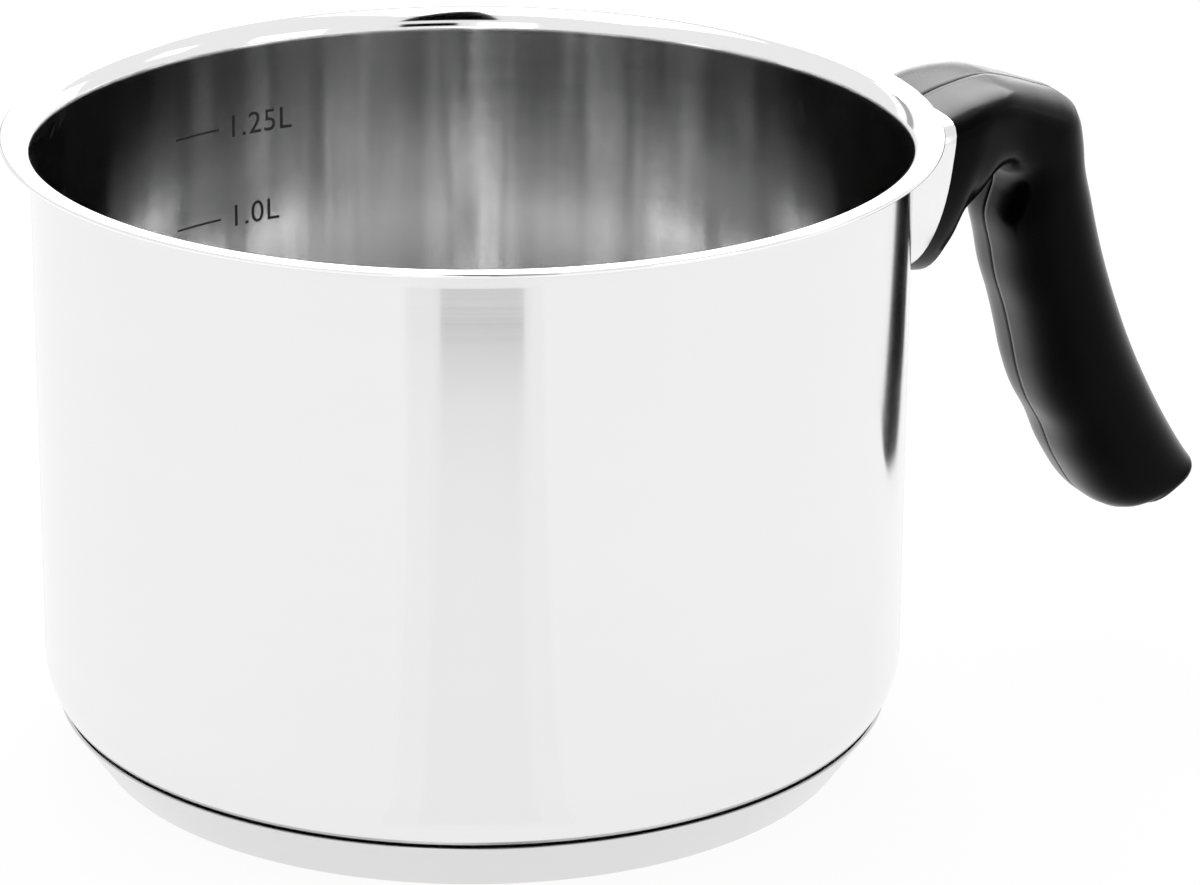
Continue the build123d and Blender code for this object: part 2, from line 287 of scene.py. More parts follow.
# %% Handle plastic
SEAM_HALF_WIDTH = 0.16 * MM
MOULD_GRAIN = 0.28 * MM
MOULD_DEPTH = 0.006 * MM
DARKEST, PALEST = 0.0005, 0.0015
SATIN = 0.24
HEAD_ON_SHINE = 0.05


def phenolic(name):
    """Black moulded plastic with a parting line in the middle plane."""
    finish = new_finish(name)
    grain = finish.noise((1 / MOULD_GRAIN,) * 3, detail=2.0)
    worn = finish.noise((70, 70, 70), detail=2.0)
    across = finish.node("ShaderNodeSeparateXYZ", None, {"Vector": finish.place()}, output="Y")
    seam = 1 - abs(across).rise(SEAM_HALF_WIDTH * 0.4, SEAM_HALF_WIDTH)
    tone = finish.blend(worn * 0.8 + grain * 0.2 - seam, DARKEST, PALEST)
    gloss = (worn - 0.5) * 0.14 + (grain - 0.5) * 0.08 + seam * 0.25 + SATIN
    return finish.surface({"Base Color": tone, "Roughness": gloss, "Specular IOR Level": 0.5,
                           "Specular Tint": grey(HEAD_ON_SHINE),
                           "Normal": finish.bump(grain, MOULD_DEPTH)})


black_phenolic = phenolic("black_phenolic")
print("Plastic:", black_phenolic.name)

# %% [markdown]
# ## Drawing an outline and spinning it
# The shell and the base cap are round, so each is an outline in the XZ plane that is spun about Z. The
# outline grows from one vertex: `line` extrudes its tip to a new place, and `arc` spins the tip about a
# centre, which is how a fillet is drawn. Each stretch keeps the number of its finish, so the wall, the
# rim and the inside of one sheet can each have their own.

# %% Outline helper
ROUND_STEPS = 192


class Outline:
    """An outline in radius and height that grows from its tip and is then spun."""

    def __init__(self, radius, height):
        self.mesh = bmesh.new()
        self.tip = self.mesh.verts.new((radius * MM, 0, height * MM))
        self.stretches = []

    def grow(self, zone, geometry):
        edges = [part for part in geometry if isinstance(part, bmesh.types.BMEdge)]
        self.stretches.append((zone, edges))

    def line(self, zone, radius, height):
        made = bmesh.ops.extrude_vert_indiv(self.mesh, verts=[self.tip])
        self.tip = made["verts"][0]
        self.tip.co = (radius * MM, 0, height * MM)
        self.grow(zone, made["edges"])

    def arc(self, zone, radius, height, degrees, steps):
        """Turn the tip about a centre, anticlockwise as seen with +X right and +Z up."""
        before = set(self.mesh.edges)
        made = bmesh.ops.spin(self.mesh, geom=[self.tip], cent=(radius * MM, 0, height * MM),
                              axis=(0, -1, 0), angle=math.radians(degrees), steps=steps)
        self.tip = [part for part in made["geom_last"] if isinstance(part, bmesh.types.BMVert)][0]
        self.grow(zone, set(self.mesh.edges) - before)

    def spin(self, name, finishes):
        """Spin every stretch once round and close the shape at its joins and poles."""
        for zone, edges in self.stretches:
            before = set(self.mesh.faces)
            points = {vertex for edge in edges for vertex in edge.verts}
            bmesh.ops.spin(self.mesh, geom=list(points) + edges, cent=(0, 0, 0), axis=(0, 0, 1),
                           angle=math.tau, steps=ROUND_STEPS, use_merge=True)
            for face in set(self.mesh.faces) - before:
                face.material_index = zone
        bmesh.ops.remove_doubles(self.mesh, verts=self.mesh.verts, dist=0.002 * MM)
        bmesh.ops.dissolve_degenerate(self.mesh, dist=0.001 * MM, edges=self.mesh.edges)
        bmesh.ops.recalc_face_normals(self.mesh, faces=self.mesh.faces)
        return finished(self.mesh, name, finishes)


print("Outlines are spun in", ROUND_STEPS, "steps")

# %% [markdown]
# ## From a drawing to a piece
# Every drawing ends the same way: the bmesh becomes a mesh, the mesh gets its finishes and smooth
# shading that breaks at real edges, and an object holds it. A closed piece has no open edge, so the
# number is printed: only the floor, the panels and a sheet that a modifier thickens later have some.

# %% Finished pieces
CREASE = math.radians(40)


def shade(data):
    """Smooth shading, sharp at the edges that turn more than the crease."""
    data.shade_smooth()
    data.set_sharp_from_angle(angle=CREASE)


def open_edges(data):
    """How many edges don't lie between exactly two faces."""
    uses = np.zeros(len(data.edges), dtype=int)
    for corner in data.loops:
        uses[corner.edge_index] += 1
    return int(np.count_nonzero(uses != 2))


def finished(mesh, name, finishes):
    """Turn a bmesh into an object at the origin with smooth shading and its finishes."""
    data = bpy.data.meshes.new(name)
    mesh.to_mesh(data)
    mesh.free()
    for finish in finishes:
        data.materials.append(finish)
    shade(data)
    piece = bpy.data.objects.new(name, data)
    bpy.context.scene.collection.objects.link(piece)
    print(name, "has", len(data.polygons), "faces and", open_edges(data), "open edges")
    return piece


print("Edges sharper than", round(math.degrees(CREASE)), "degrees stay sharp")

# %% [markdown]
# ## The shell
# One sheet of 0.8 mm steel is drawn into a pot and its edge is turned outwards for pouring. The outline
# goes out along the underside, up the wall, round the bend under the rim and round the sheet's edge,
# then back along the top of the rim, down the inside and in over the floor.

# %% Pan shell
INNER_RADIUS = 70.0
SHEET = 0.8
PAN_HEIGHT = 104.8
CORNER_RADIUS = 12.5
RIM_BEND = 4.0
RIM_RADIUS = 75.7
UNDERSIDE = 4.6
WALL_RADIUS = INNER_RADIUS + SHEET
OUTSIDE, RIM, INSIDE = 0, 1, 2

corner_x = WALL_RADIUS - CORNER_RADIUS
corner_z = UNDERSIDE + CORNER_RADIUS
bend_x = INNER_RADIUS + RIM_BEND
bend_z = PAN_HEIGHT - RIM_BEND
edge_x = RIM_RADIUS - SHEET / 2

shell = Outline(0, UNDERSIDE)
shell.line(OUTSIDE, corner_x, UNDERSIDE)
shell.arc(OUTSIDE, corner_x, corner_z, 90, 14)
shell.line(OUTSIDE, WALL_RADIUS, bend_z)
shell.arc(OUTSIDE, bend_x, bend_z, -90, 8)
shell.line(RIM, edge_x, PAN_HEIGHT - SHEET)
shell.arc(RIM, edge_x, PAN_HEIGHT - SHEET / 2, 180, 10)
shell.line(RIM, bend_x, PAN_HEIGHT)
shell.arc(RIM, bend_x, bend_z, 90, 10)
shell.line(INSIDE, INNER_RADIUS, corner_z)
shell.arc(INSIDE, corner_x, corner_z, -90, 14)
shell.line(INSIDE, 0, UNDERSIDE + SHEET)
pan_shell = shell.spin("pan_shell", [wall_steel, rim_steel, inside_steel])
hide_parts("pot_body")
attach(pan_shell, "root")

# %% [markdown]
# ## The base cap
# A second, dished sheet closes the aluminium core. Its edge laps the shell's corner and stands a hair
# proud of it, which is the bright line low on the pan with a thin dark seam above it. The seam is
# modelled as a groove, because a painted line would not change with the light as a groove does, and
# the groove's slanted face is also coloured near-black: painted shade on top of the groove's own
# shadow.

# %% Base dish
CAP_SHEET = 0.8
JOINT_HEIGHT = 9.0
JOINT_RADIUS = 68.72
CAP_LEAN = math.radians(35)
CAP_EDGE = 1.0
CAP_LIP = 0.12
SEAM_WIDTH = 0.34
SEAM_DEPTH = 1.1
SEAM_SLANT = 0.7
FOLD_OUT, FOLD_UP, FOLD_IN = 0.4, 1.0, 1.0
CAP, SEAM = 0, 1

foot_x = JOINT_RADIUS - JOINT_HEIGHT * math.tan(CAP_LEAN)
side_angle = 90 - math.degrees(CAP_LEAN)
tangent = CAP_EDGE * math.tan(math.radians(side_angle) / 2)
shell_x = corner_x + math.sqrt(CORNER_RADIUS**2 - (corner_z - JOINT_HEIGHT)**2)

dish = Outline(0, 0)
dish.line(CAP, foot_x - tangent, 0)
dish.arc(CAP, foot_x - tangent, CAP_EDGE, side_angle, 6)
dish.line(CAP, JOINT_RADIUS - CAP_LIP * math.tan(CAP_LEAN), JOINT_HEIGHT - CAP_LIP)
dish.line(CAP, JOINT_RADIUS - CAP_LIP, JOINT_HEIGHT)
dish.line(CAP, shell_x + SEAM_WIDTH, JOINT_HEIGHT)
# This slanted face of the groove carries the painted seam shade.
dish.line(SEAM, shell_x + SEAM_WIDTH - SEAM_SLANT * SEAM_DEPTH, JOINT_HEIGHT - SEAM_DEPTH)
dish.line(CAP, foot_x + FOLD_OUT, CAP_SHEET + FOLD_UP)
dish.line(CAP, foot_x - FOLD_IN, CAP_SHEET)
dish.line(CAP, 0, CAP_SHEET)
base_dish = dish.spin("base_dish", [cap_steel, painted_seam_shade])
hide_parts("base_cap")
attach(base_dish, "root")
print("The cap is", round(2 * foot_x, 1), "mm across at the table")

# %% [markdown]
# ## Cross-sections of the handle
# The handle is a lofted form: a row of closed sections, each hung between a point on top and a point
# underneath in the middle plane. A section is a superellipse, which goes from an oval at a power of 2
# to a rounded box at higher powers, with its own power above and below the widest line. The points of
# a section are spaced evenly along it, and two of them stand close beside the middle line, so that the
# mould's parting line can be pressed in as a narrow groove.

# %% Section of the handle
QUARTER = 16
SAMPLES = 400
GROOVE_HALF_WIDTH = 0.20 * MM
GROOVE_DEPTH = 0.12 * MM


def quarter(centre, side, end, power):
    """Evenly spaced points of a quarter section from its widest point to the middle plane."""
    angle = np.linspace(0, math.pi / 2, SAMPLES)
    across = np.cos(angle) ** (2 / power)
    along = np.sin(angle) ** (2 / power)
    across[-1], along[0] = 0.0, 0.0
    line = centre + np.outer(across, side) + np.outer(along, end - centre)
    travel = np.concatenate([[0], np.cumsum(np.linalg.norm(np.diff(line, axis=0), axis=1))])
    last = [travel[-1] - GROOVE_HALF_WIDTH, travel[-1]]
    stops = np.append(np.linspace(0, travel[-1], QUARTER)[:-1], last)
    return np.column_stack([np.interp(stops, travel, line[:, axis]) for axis in range(3)])


def section(under, top, half_width, belt, under_power, top_power, groove=GROOVE_DEPTH):
    """Closed ring of points: near side to top, far side, underneath and back, with both grooves."""
    under, top = np.array(under), np.array(top)
    centre = under + (top - under) * belt
    near = np.array([0.0, -half_width, 0.0])
    inward = (under - top) / np.linalg.norm(under - top) * groove
    over = quarter(centre, near, top, top_power)
    over_far = quarter(centre, -near, top, top_power)
    below_far = quarter(centre, -near, under, under_power)
    below = quarter(centre, near, under, under_power)
    over[-1] += inward
    below_far[-1] -= inward
    return np.vstack([over, over_far[-2::-1], below_far[1:], below[-2:0:-1]])


ring = section((0, 0, 0), (0, 0, 0.02), 0.012, 0.5, 3.0, 3.0)
print("A section has", len(ring), "points")

# %% [markdown]
# ## The rungs
# The sizes are the same as in the CAD source. First the arm, from the flame guard over the crest and
# round the back of the crook, given as shares of its reach and height. Then the grip, which bends away
# from the pan round a far centre, with soft waves for the fingers, and rounds off at the tail.

# %% Rungs of the arm
ARM_REACH = 37.4 * MM
ARM_HEIGHT = 31.4 * MM
FOOT_HEIGHT = 71.8 * MM
ROOT_HALF_WIDTH = 15.5 * MM
GRIP_HALF_WIDTH = 12.3 * MM
UNDER_SHARES = [(0.142, 0.00), (0.226, -0.03), (0.307, 0.215), (0.390, 0.38), (0.465, 0.51),
                (0.535, 0.562), (0.604, 0.52), (0.633, 0.457), (0.633, 0.395), (0.618, 0.335)]
TOP_SHARES = [(0.242, 0.912), (0.321, 0.947), (0.406, 0.974), (0.487, 0.995), (0.572, 1.003),
              (0.674, 0.977), (0.820, 0.919), (0.950, 0.851), (0.984, 0.71), (1.0, 0.524)]
WIDTH_SHARES = [1.0, 0.95, 0.84, 0.62, 0.41, 0.23, 0.12, 0.06, 0.0, 0.0]
BELTS = [0.72, 0.71, 0.67, 0.60, 0.55, 0.50, 0.50, 0.50, 0.50, 0.50]
UNDER_POWERS = [2.0, 2.0, 2.2, 3.0, 3.5, 3.5, 3.4, 3.2, 3.1, 3.0]
TOP_POWERS = [6.5, 6.4, 5.7, 4.8, 3.8, 3.0, 2.7, 2.6, 2.8, 3.0]


def arm_point(reach, height):
    return (WALL_RADIUS * MM + ARM_REACH * reach, 0, FOOT_HEIGHT + ARM_HEIGHT * height)


rungs = []
for under, top, width, belt, under_power, top_power in zip(UNDER_SHARES, TOP_SHARES, WIDTH_SHARES,
                                                          BELTS, UNDER_POWERS, TOP_POWERS):
    half_width = GRIP_HALF_WIDTH + (ROOT_HALF_WIDTH - GRIP_HALF_WIDTH) * width
    rungs.append(section(arm_point(*under), arm_point(*top), half_width, belt, under_power, top_power))
print(len(rungs), "rungs in the arm")

# %% Rungs of the grip and the tail
BEND_RADIUS = 145.0 * MM
SHOULDER_REACH = 36.6 * MM
SHOULDER_DROP = 9.6 * MM
SHOULDER_LEAN = math.radians(7.5)
GRIP_START = 13.0 * MM
GRIP_STEP = 5.25 * MM
GRIP_THICKNESSES = [17.0, 17.1, 17.5, 17.4, 17.9, 18.8, 19.2, 18.8, 19.3]
GRIP_BELT, GRIP_UNDER_POWER, GRIP_TOP_POWER = 0.5, 3.0, 3.1
TAIL_LENGTH = 12.8 * MM
TAIL_DEPTH = 14.0 * MM
TAIL_HALF_WIDTH = 11.7 * MM
TAIL_POWER = 4.3
TAIL_ANGLES = [0, 3, 9, 18, 30, 42, 54, 66, 72]
TAIL_EDGE = 0.8 * MM
TAIL_EDGE_ANGLES = [25, 50, 70, 90]

centre_x = WALL_RADIUS * MM + SHOULDER_REACH + BEND_RADIUS * math.cos(SHOULDER_LEAN)
centre_z = PAN_HEIGHT * MM - SHOULDER_DROP + BEND_RADIUS * math.sin(SHOULDER_LEAN)


def grip_section(travel, outer, inner, half_width):
    """Section across the grip at a travel down its outer line, between two depths."""
    angle = SHOULDER_LEAN + travel / BEND_RADIUS
    points = [(centre_x - (BEND_RADIUS + depth) * math.cos(angle), 0,
               centre_z - (BEND_RADIUS + depth) * math.sin(angle)) for depth in (inner, outer)]
    return section(*points, half_width, GRIP_BELT, GRIP_UNDER_POWER, GRIP_TOP_POWER)


for step, thickness in enumerate(GRIP_THICKNESSES[:-1]):
    rungs.append(grip_section(GRIP_START + GRIP_STEP * step, 0, thickness * MM, GRIP_HALF_WIDTH))
tail_start = GRIP_START + GRIP_STEP * (len(GRIP_THICKNESSES) - 1)
for degrees in TAIL_ANGLES:
    onward = math.sin(math.radians(degrees)) ** (2 / TAIL_POWER)
    inward = math.cos(math.radians(degrees)) ** (2 / TAIL_POWER)
    travel = tail_start + TAIL_LENGTH * onward
    depth = GRIP_THICKNESSES[-1] * MM - TAIL_DEPTH * (1 - inward)
    half_width = TAIL_HALF_WIDTH + (GRIP_HALF_WIDTH - TAIL_HALF_WIDTH) * inward
    rungs.append(grip_section(travel, 0, depth, half_width))
smooth_rungs = len(rungs)
for degrees in TAIL_EDGE_ANGLES:
    inset = TAIL_EDGE * (1 - math.cos(math.radians(degrees)))
    edge_travel = travel + TAIL_EDGE * math.sin(math.radians(degrees))
    rungs.append(grip_section(edge_travel, inset, depth - inset, half_width - inset))
print(len(rungs), "rungs in all, the last", len(TAIL_EDGE_ANGLES), "round the tail's edge")

# %% [markdown]
# Between the rungs the CAD solid runs on a smooth curve. A Subdivision Surface would smooth the row
# too, but it pulls the sections in by a few tenths of a millimetre, and the outline would no longer be
# the pan's. So more rungs are put in on a curve that passes through each of them.

# %% More rungs on a smooth curve
RUNG_SPACING = 1.3 * MM


def fill_in(rows, spacing):
    """Rows on a smooth curve through the given rows, about one spacing apart."""
    rows = np.array(rows)
    middle = rows.mean(axis=1)
    travel = np.concatenate([[0], np.cumsum(np.linalg.norm(np.diff(middle, axis=0), axis=1))])
    slope = np.gradient(rows, travel, axis=0)
    filled = []
    for index in range(len(rows) - 1):
        length = travel[index + 1] - travel[index]
        steps = max(1, round(length / spacing))
        for share in np.arange(steps) / steps:
            near = 2 * share**3 - 3 * share**2 + 1
            leaving = share**3 - 2 * share**2 + share
            arriving = share**3 - share**2
            filled.append(rows[index] * near + slope[index] * (leaving * length)
                          + rows[index + 1] * (1 - near) + slope[index + 1] * (arriving * length))
    return filled + [rows[-1]]


ladder = fill_in(rungs[:smooth_rungs], RUNG_SPACING) + rungs[smooth_rungs:]
print(len(rungs), "rungs became", len(ladder))

# %% [markdown]
# ## The moulding
# `create_grid` gives a sheet of quads, one row of vertices for each rung and one column for each point
# of a section. The rows are laid on the rungs, which rolls the sheet into a tube, and merging its first
# and last columns closes it. `holes_fill` then caps both ends. At the pan's end the plastic steps in
# and runs on as a spigot inside the guard.

# %% A tube through rows of points
def tube(rows):
    """Closed tube of quads through rows with equal numbers of points."""
    mesh = bmesh.new()
    sheet = bmesh.ops.create_grid(mesh, x_segments=len(rows[0]), y_segments=len(rows) - 1, size=1.0)
    for vertex, place in zip(sheet["verts"], np.vstack([np.vstack([row, row[:1]]) for row in rows])):
        vertex.co = place
    bmesh.ops.remove_doubles(mesh, verts=mesh.verts, dist=0.001 * MM)
    return mesh


SPIGOT_LENGTH = 4.0 * MM
SPIGOT_STEP = 0.8 * MM

end_row = ladder[0]
middle = end_row.mean(axis=0)
upward = end_row[QUARTER] - end_row[3 * QUARTER]
outward = np.array([upward[2], 0, -upward[0]]) / np.linalg.norm(upward)
away = end_row - middle
spigot_row = end_row - away / np.linalg.norm(away, axis=1)[:, None] * SPIGOT_STEP

mesh = tube([spigot_row - outward * SPIGOT_LENGTH, spigot_row] + ladder)
bmesh.ops.holes_fill(mesh, edges=[edge for edge in mesh.edges if edge.is_boundary])
bmesh.ops.recalc_face_normals(mesh, faces=mesh.faces)
handle_moulding = finished(mesh, "handle_moulding", [black_phenolic])

# %% [markdown]
# The moulding is hollowed where the fixing goes: a recess and a hole for the screw from below, and a
# pocket for the bracket's tongue and its nut. Cutting with a Boolean keeps the outside untouched. The
# cutters are thrown away once their cut is part of the mesh.

# %% Screw recess and bracket pocket
SCREW_X = 85.0
SCREW_SEAT = 89.4
RECESS_RADIUS, HOLE_RADIUS = 4.25, 2.25
TONGUE_UNDERSIDE, TONGUE_TOP = 92.4, 94.4
POCKET_START, TONGUE_END, NUT_END = 69.0, 90.3, 89.35
TONGUE_HALF_WIDTH, NUT_HALF_WIDTH = 6.3, 3.8
NUT_POCKET_TOP = 98.3
PLAY, OVERLAP = 0.3, 1.0
BELOW_ARM = 60.0


def cylinder(radius, bottom, top):
    """Upright cutter on the screw's axis."""
    mesh = bmesh.new()
    place = Matrix.Translation((SCREW_X * MM, 0, (bottom + top) / 2 * MM))
    bmesh.ops.create_cone(mesh, cap_ends=True, segments=48, radius1=radius * MM, radius2=radius * MM,
                          depth=(top - bottom) * MM, matrix=place)
    return mesh


def block(x_range, half_width, z_range):
    """Box-shaped cutter across the middle plane."""
    mesh = bmesh.new()
    size = ((x_range[1] - x_range[0]) * MM, 2 * half_width * MM, (z_range[1] - z_range[0]) * MM)
    place = Matrix.Translation((sum(x_range) / 2 * MM, 0, sum(z_range) / 2 * MM))
    bmesh.ops.create_cube(mesh, size=1.0, matrix=place @ Matrix.Diagonal((*size, 1)))
    return mesh


def cut(piece, mesh):
    """Take a cutter out of a piece for good."""
    cutter = finished(mesh, "cutter", piece.data.materials[:])
    boolean = piece.modifiers.new("cut", "BOOLEAN")
    boolean.operation = "DIFFERENCE"
    boolean.solver = "EXACT"
    boolean.object = cutter
    shaped = piece.evaluated_get(bpy.context.evaluated_depsgraph_get())
    cut_data = bpy.data.meshes.new_from_object(shaped)
    piece.modifiers.clear()
    old_data, piece.data = piece.data, cut_data
    bpy.data.meshes.remove(old_data)
    cutter_data = cutter.data
    bpy.data.objects.remove(cutter)
    bpy.data.meshes.remove(cutter_data)
    cut_data.name = piece.name
    shade(cut_data)


tongue_heights = (TONGUE_UNDERSIDE, TONGUE_TOP + PLAY)
cut(handle_moulding, cylinder(RECESS_RADIUS, BELOW_ARM, SCREW_SEAT))
cut(handle_moulding, cylinder(HOLE_RADIUS, SCREW_SEAT - OVERLAP, TONGUE_TOP))
cut(handle_moulding, block((POCKET_START, TONGUE_END), TONGUE_HALF_WIDTH, tongue_heights))
cut(handle_moulding, block((POCKET_START, NUT_END), NUT_HALF_WIDTH, (TONGUE_TOP, NUT_POCKET_TOP)))
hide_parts("handle")
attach(handle_moulding, "root")
print("The moulding has", len(handle_moulding.data.polygons), "faces after its cuts")

# %% [markdown]
# ## The flame guard
# A short sleeve of bright sheet stands between the hot wall and the plastic. Its front edge is flush
# with the moulding, so it starts on the moulding's first section, without the groove, and runs back
# until each point meets the round wall. One row of quads is enough along it, because it is straight.

# %% Guard sleeve
GUARD_SHEET = 0.6 * MM
GUARD_SLOPE = math.radians(7.8)
GUARD_FOOT_RISE = 1.2 * MM
GUARD_EDGE = 0.10 * MM

front_under, front_top = arm_point(*UNDER_SHARES[0]), arm_point(*TOP_SHARES[0])
wall_x = WALL_RADIUS * MM
back_top = (wall_x, 0, front_top[2] - (front_top[0] - wall_x) * math.tan(GUARD_SLOPE))
back_under = (wall_x, 0, front_under[2] + GUARD_FOOT_RISE)
shape = (ROOT_HALF_WIDTH, BELTS[0], UNDER_POWERS[0], TOP_POWERS[0])
front_row = section(front_under, front_top, *shape, groove=0)
back_row = section(back_under, back_top, *shape, groove=0)
reach = np.sqrt(wall_x**2 - front_row[:, 1]**2)
share = (front_row[:, 0] - reach) / (front_row[:, 0] - back_row[:, 0])
wall_row = front_row + (back_row - front_row) * share[:, None]

mesh = tube([wall_row, front_row])
bmesh.ops.recalc_face_normals(mesh, faces=mesh.faces)
guard_sleeve = finished(mesh, "guard_sleeve", [guard_steel])
sheet = guard_sleeve.modifiers.new("sheet", "SOLIDIFY")
sheet.thickness = GUARD_SHEET
sheet.offset = -1
sheet.use_even_offset = True
soft = guard_sleeve.modifiers.new("soft_edges", "BEVEL")
soft.width = GUARD_EDGE
soft.segments = 2
soft.limit_method = "ANGLE"
soft.angle_limit = math.radians(50)
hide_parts("flame_guard")
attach(guard_sleeve, "root")
print("The guard is", round((front_row[:, 0].max() - wall_x) / MM, 1), "mm long on top")

# %% [markdown]
# ## The litre marks
# The marks are etched inside the wall to the left of the middle, as seen from the front. Each is drawn
# flat, in millimetres, and then wrapped: a step to the right becomes a turn round the pan. They are
# plain numbers on a scale, and a tick stands at the height that the pan really fills to.

# %% Wrapping
MARK_LIFT = 0.03


def wrap(mesh, turn, height):
    """Bend a flat drawing in millimetres round the inside of the wall."""
    for vertex in mesh.verts:
        right, up, lift = vertex.co
        angle = turn - math.degrees(right / INNER_RADIUS)
        vertex.co = around(angle) * (INNER_RADIUS - lift) * MM + Vector((0, 0, (height + up) * MM))


def etched(mesh, name, turn, height):
    """Wrap a drawing at a turn from the camera's right, as an etched mark on the shell."""
    wrap(mesh, turn - HANDLE_TURN, height)
    mark = finished(mesh, name, [etched_metal])
    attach(mark, "root")


print("The marks are", 2 * MARK_LIFT, "mm thick")

# %% Letters and ticks
CAPITAL_SHARE = 0.72
LETTER_SPACING = 1.06
LETTER_HEIGHT = 4.0
TICK_LENGTH, TICK_WIDTH, TICK_CUTS = 9.5, 0.35, 11


def lettering(words):
    """Flat solid letters, standing on y = 0."""
    curve = bpy.data.curves.new("lettering", "FONT")
    curve.body = words
    curve.size = LETTER_HEIGHT / CAPITAL_SHARE
    curve.space_character = LETTER_SPACING
    curve.extrude = MARK_LIFT
    curve.resolution_u = 6
    drawn = bpy.data.objects.new("lettering", curve)
    bpy.context.scene.collection.objects.link(drawn)
    flat = bpy.data.meshes.new_from_object(drawn.evaluated_get(bpy.context.evaluated_depsgraph_get()))
    bpy.data.objects.remove(drawn)
    bpy.data.curves.remove(curve)
    mesh = bmesh.new()
    mesh.from_mesh(flat)
    bpy.data.meshes.remove(flat)
    bmesh.ops.remove_doubles(mesh, verts=mesh.verts, dist=0.0005)
    return mesh


def tick():
    """Flat solid line that ends at x = 0, cut across so that it can bend."""
    mesh = bmesh.new()
    size = Matrix.Diagonal((TICK_LENGTH, TICK_WIDTH, 2 * MARK_LIFT, 1))
    place = Matrix.Translation((-TICK_LENGTH / 2, 0, 0)) @ size
    bmesh.ops.create_cube(mesh, size=1.0, matrix=place)
    along = [edge for edge in mesh.edges
             if abs(edge.verts[0].co.x - edge.verts[1].co.x) > TICK_LENGTH / 2]
    bmesh.ops.subdivide_edges(mesh, edges=along, cuts=TICK_CUTS, use_grid_fill=True)
    return mesh


print("Letters are", LETTER_HEIGHT, "mm high and ticks", TICK_LENGTH, "mm long")

# %% Marks in place
MARK_TURN = 127.0
etched(lettering("1.25L"), "mark_125", MARK_TURN, 85.6)
etched(lettering("1.0L"), "mark_100", MARK_TURN - 0.2, 69.5)
etched(tick(), "tick_125", MARK_TURN + 1.3, 87.4)
etched(tick(), "tick_100", MARK_TURN + 1.3, 71.2)
print("Litre marks wrapped at", INNER_RADIUS, "mm")

# %% [markdown]
# ## The pieces that stay as CAD solids
# The core, the bracket, the nut, the screw and its washer are right as they are and mostly hidden. They
# only get their finish, put into the slots that they were loaded with.

# %% Finishes on the CAD nodes
node_finishes = {
    "base_core": core_aluminium,
    "handle_bracket": bracket_steel,
    "bracket_nut": fastener_steel,
    "handle_screw": fastener_steel,
    "lock_washer": fastener_steel,
}
for name, finish in node_finishes.items():
    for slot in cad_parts[name].material_slots:
        slot.material = finish
    print(name, "is finished in", finish.name)

# %% [markdown]
# ## The table
# The pan stands on plain white. The camera and the steel must see that white, but a floor that only
# glows would lose the shadow. So most of the floor's colour towards the camera and towards reflections
# comes from a white glow, and the rest from ordinary white paint, which still takes the shadow.

# %% Floor
FLOOR_SIZE = 3.0
FLOOR_PAINT = 0.9
GLOW_SHARE = 0.92


def white_floor(name):
    """Paint that glows towards the camera and towards reflections."""
    finish = new_finish(name)
    paint = finish.node("ShaderNodeBsdfDiffuse", None, {"Color": grey(FLOOR_PAINT)})
    glow = finish.node("ShaderNodeEmission", None, {"Color": grey(1.0), "Strength": 1.0})
    seen = finish.node("ShaderNodeLightPath", output="Is Camera Ray")
    mirrored = finish.node("ShaderNodeLightPath", output="Is Glossy Ray")
    factor = seen.maths("MAXIMUM", seen, mirrored) * GLOW_SHARE
    mixed = finish.node("ShaderNodeMixShader", None, {"Fac": factor, 1: paint, 2: glow})
    finish.node("ShaderNodeOutputMaterial", None, {"Surface": mixed})
    return finish.data


mesh = bmesh.new()
bmesh.ops.create_grid(mesh, x_segments=8, y_segments=8, size=FLOOR_SIZE / 2)
floor = finished(mesh, "floor", [white_floor("white_table")])
print("The floor is", FLOOR_SIZE, "m wide")

# %% [markdown]
# ## The light
# Steel shows nothing but its surroundings, so the pan stands in a plain white tent: one even grey-white
# world, which the camera sees as white. A weak lamp above gives the shadow its softness, and a
# stronger one behind lights the top of the handle.

# %% The white tent
TENT_LEVEL = 0.85


def tent(name):
    """World that is white to the camera and a little greyer to everything else."""
    finish = Finish(bpy.data.worlds.new(name))
    wall = finish.node("ShaderNodeBackground", None, {"Color": grey(TENT_LEVEL), "Strength": 1.0})
    paper = finish.node("ShaderNodeBackground", None, {"Color": grey(1.0), "Strength": 1.0})
    seen = finish.node("ShaderNodeLightPath", output="Is Camera Ray")
    mixed = finish.node("ShaderNodeMixShader", None, {"Fac": seen, 1: wall, 2: paper})
    finish.node("ShaderNodeOutputWorld", None, {"Surface": mixed})
    return finish.data


bpy.context.scene.world = tent("white_tent")
print("The tent's level is", TENT_LEVEL)

# %% Lamps
def soft_lamp(name, turn, distance, height, width, length, power, aim=(0, 0, 0.06)):
    """Rectangular lamp at a turn from the camera's right, aimed at the pan."""
    data = bpy.data.lights.new(name, "AREA")
    data.shape = "RECTANGLE"
    data.size, data.size_y = width, length
    data.energy = power
    lamp = bpy.data.objects.new(name, data)
    lamp.location = around(turn - HANDLE_TURN) * distance + Vector((0, 0, height))
    lamp.rotation_euler = (Vector(aim) - lamp.location).to_track_quat("-Z", "Y").to_euler()
    bpy.context.scene.collection.objects.link(lamp)
    print(name, "of", power, "W at", [round(v, 2) for v in lamp.location])


soft_lamp("top_lamp", turn=180, distance=0.2, height=1.2, width=1.0, length=1.0, power=2.5)
soft_lamp("back_lamp", turn=85, distance=1.0, height=0.88, width=1.0, length=0.65, power=9.5,
          aim=(0.09, 0, 0.09))

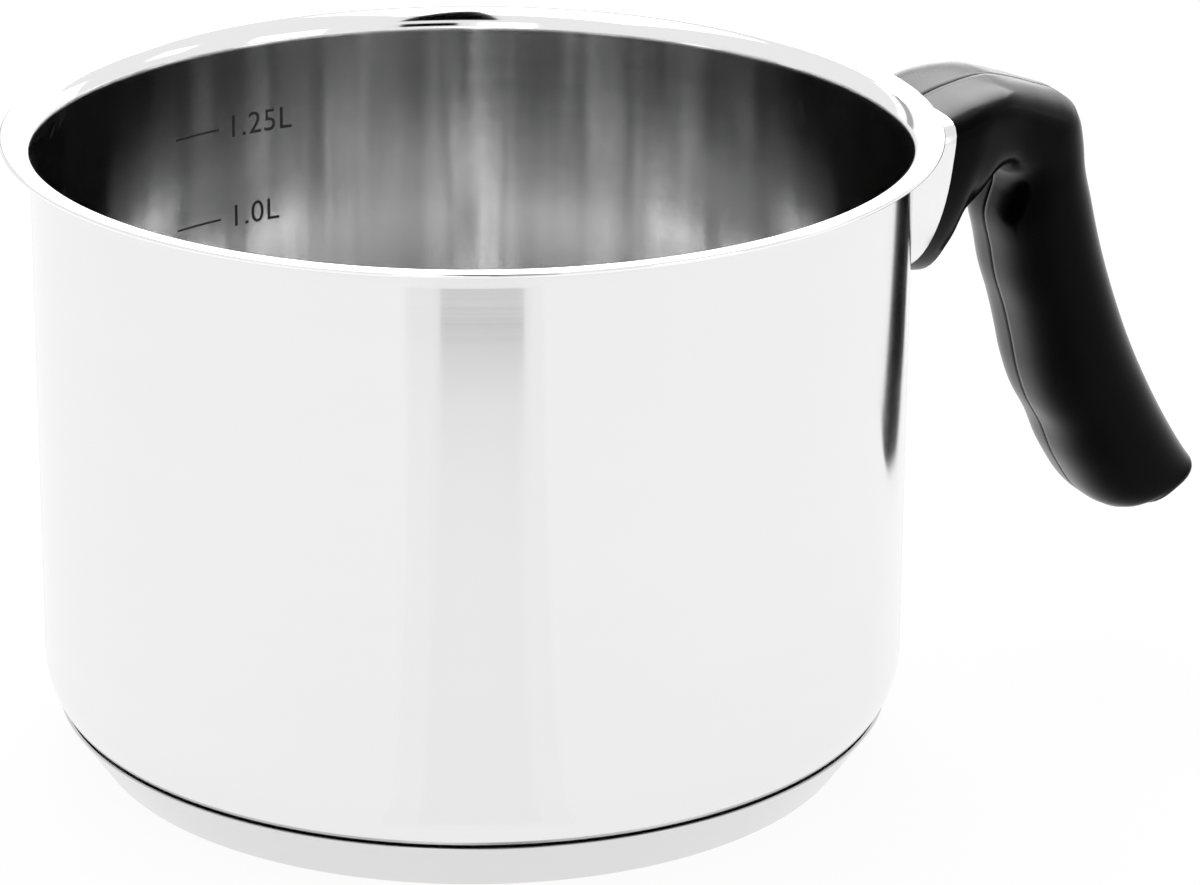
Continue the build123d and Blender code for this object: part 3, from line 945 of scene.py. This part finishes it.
# %% [markdown]
# Polished steel also needs things to mirror. Curved panels stand round the pan, as windows, cloths and
# black flags do in a studio. The camera looks down, so the wall mirrors what is low in front of it: the
# grey patch high on the wall is the low gap at the camera, and the bands under it are two cloths on the
# floor. The black slot on the back rim is the slit overhead. Each panel is a flat grid whose columns
# are turns and whose rows run from its lower edge to its upper one, and only reflections see it. A turn
# is counted from the camera's right, so the camera is at -90 and the far side at 90.

# %% Panels for the reflections
def panel(name, brightness, turns, distances, heights):
    """Curved glowing panel between two turns, from its lower edge to its upper edge."""
    finish = new_finish(name)
    glow = finish.node("ShaderNodeEmission", None, {"Color": grey(1.0), "Strength": brightness})
    finish.node("ShaderNodeOutputMaterial", None, {"Surface": glow})
    mesh = bmesh.new()
    bmesh.ops.create_grid(mesh, x_segments=8, y_segments=1, size=0.5)
    for vertex in mesh.verts:
        across, along = vertex.co.x + 0.5, vertex.co.y + 0.5
        turn = turns[0] + (turns[1] - turns[0]) * across
        distance = distances[0] + (distances[1] - distances[0]) * along
        height = heights[0] + (heights[1] - heights[0]) * along
        vertex.co = around(turn - HANDLE_TURN) * distance + Vector((0, 0, height))
    made = finished(mesh, name, [finish.data])
    made.visible_camera = made.visible_shadow = made.visible_diffuse = False


PANELS = [  # name, brightness, turns, distances and heights of the lower and upper edge
    ("camera_surround", 0.80, (-105, -77), (0.276, 0.276), (0.0012, 0.0120)),
    ("camera_gap", 0.28, (-97.0, -78.5), (0.270, 0.270), (0.0012, 0.0140)),
    ("floor_cloth", 0.965, (-104, -74), (0.077, 0.48), (0.0004, 0.0004)),
    ("floor_card", 0.935, (-98.5, -79.5), (0.080, 0.46), (0.0008, 0.0008)),
    ("tent_back", 1.03, (60, 120), (1.3, 1.3), (0.0, 0.85)),
    ("tent_slit", 0.0, (-98, -68), (0.9, 0.02), (0.80, 1.3)),
    ("window_middle", 2.6, (74, 97), (1.25, 1.25), (0.0, 0.50)),
    ("window_back", 1.35, (41, 80), (1.2, 1.2), (0.19, 0.62)),
    ("window_right", 1.4, (-48, -26), (1.2, 1.2), (0.17, 0.69)),
    ("window_left", 1.4, (252, 268), (1.2, 1.2), (0.17, 0.69)),
    ("window_high", 1.6, (0, 14), (1.2, 1.2), (0.62, 1.0)),
    ("doorway", 0.0, (-86, -70), (1.2, 1.2), (0.28, 0.62)),
    ("post", 0.40, (106, 112), (1.2, 1.2), (0.17, 0.66)),
]
for row in PANELS:
    panel(*row)
print(len(PANELS), "panels stand round the pan")

# %% [markdown]
# ## Colour and bounces
# The Standard view shows a colour as it is written. The inside of the pan mirrors itself three to seven
# times before a ray gets out, and Cycles stops at four, which leaves it black, so it gets six.

# %% View and bounces
GLOSSY_BOUNCES = 6
bpy.context.scene.view_settings.view_transform = "Standard"
bpy.context.scene.cycles.glossy_bounces = GLOSSY_BOUNCES
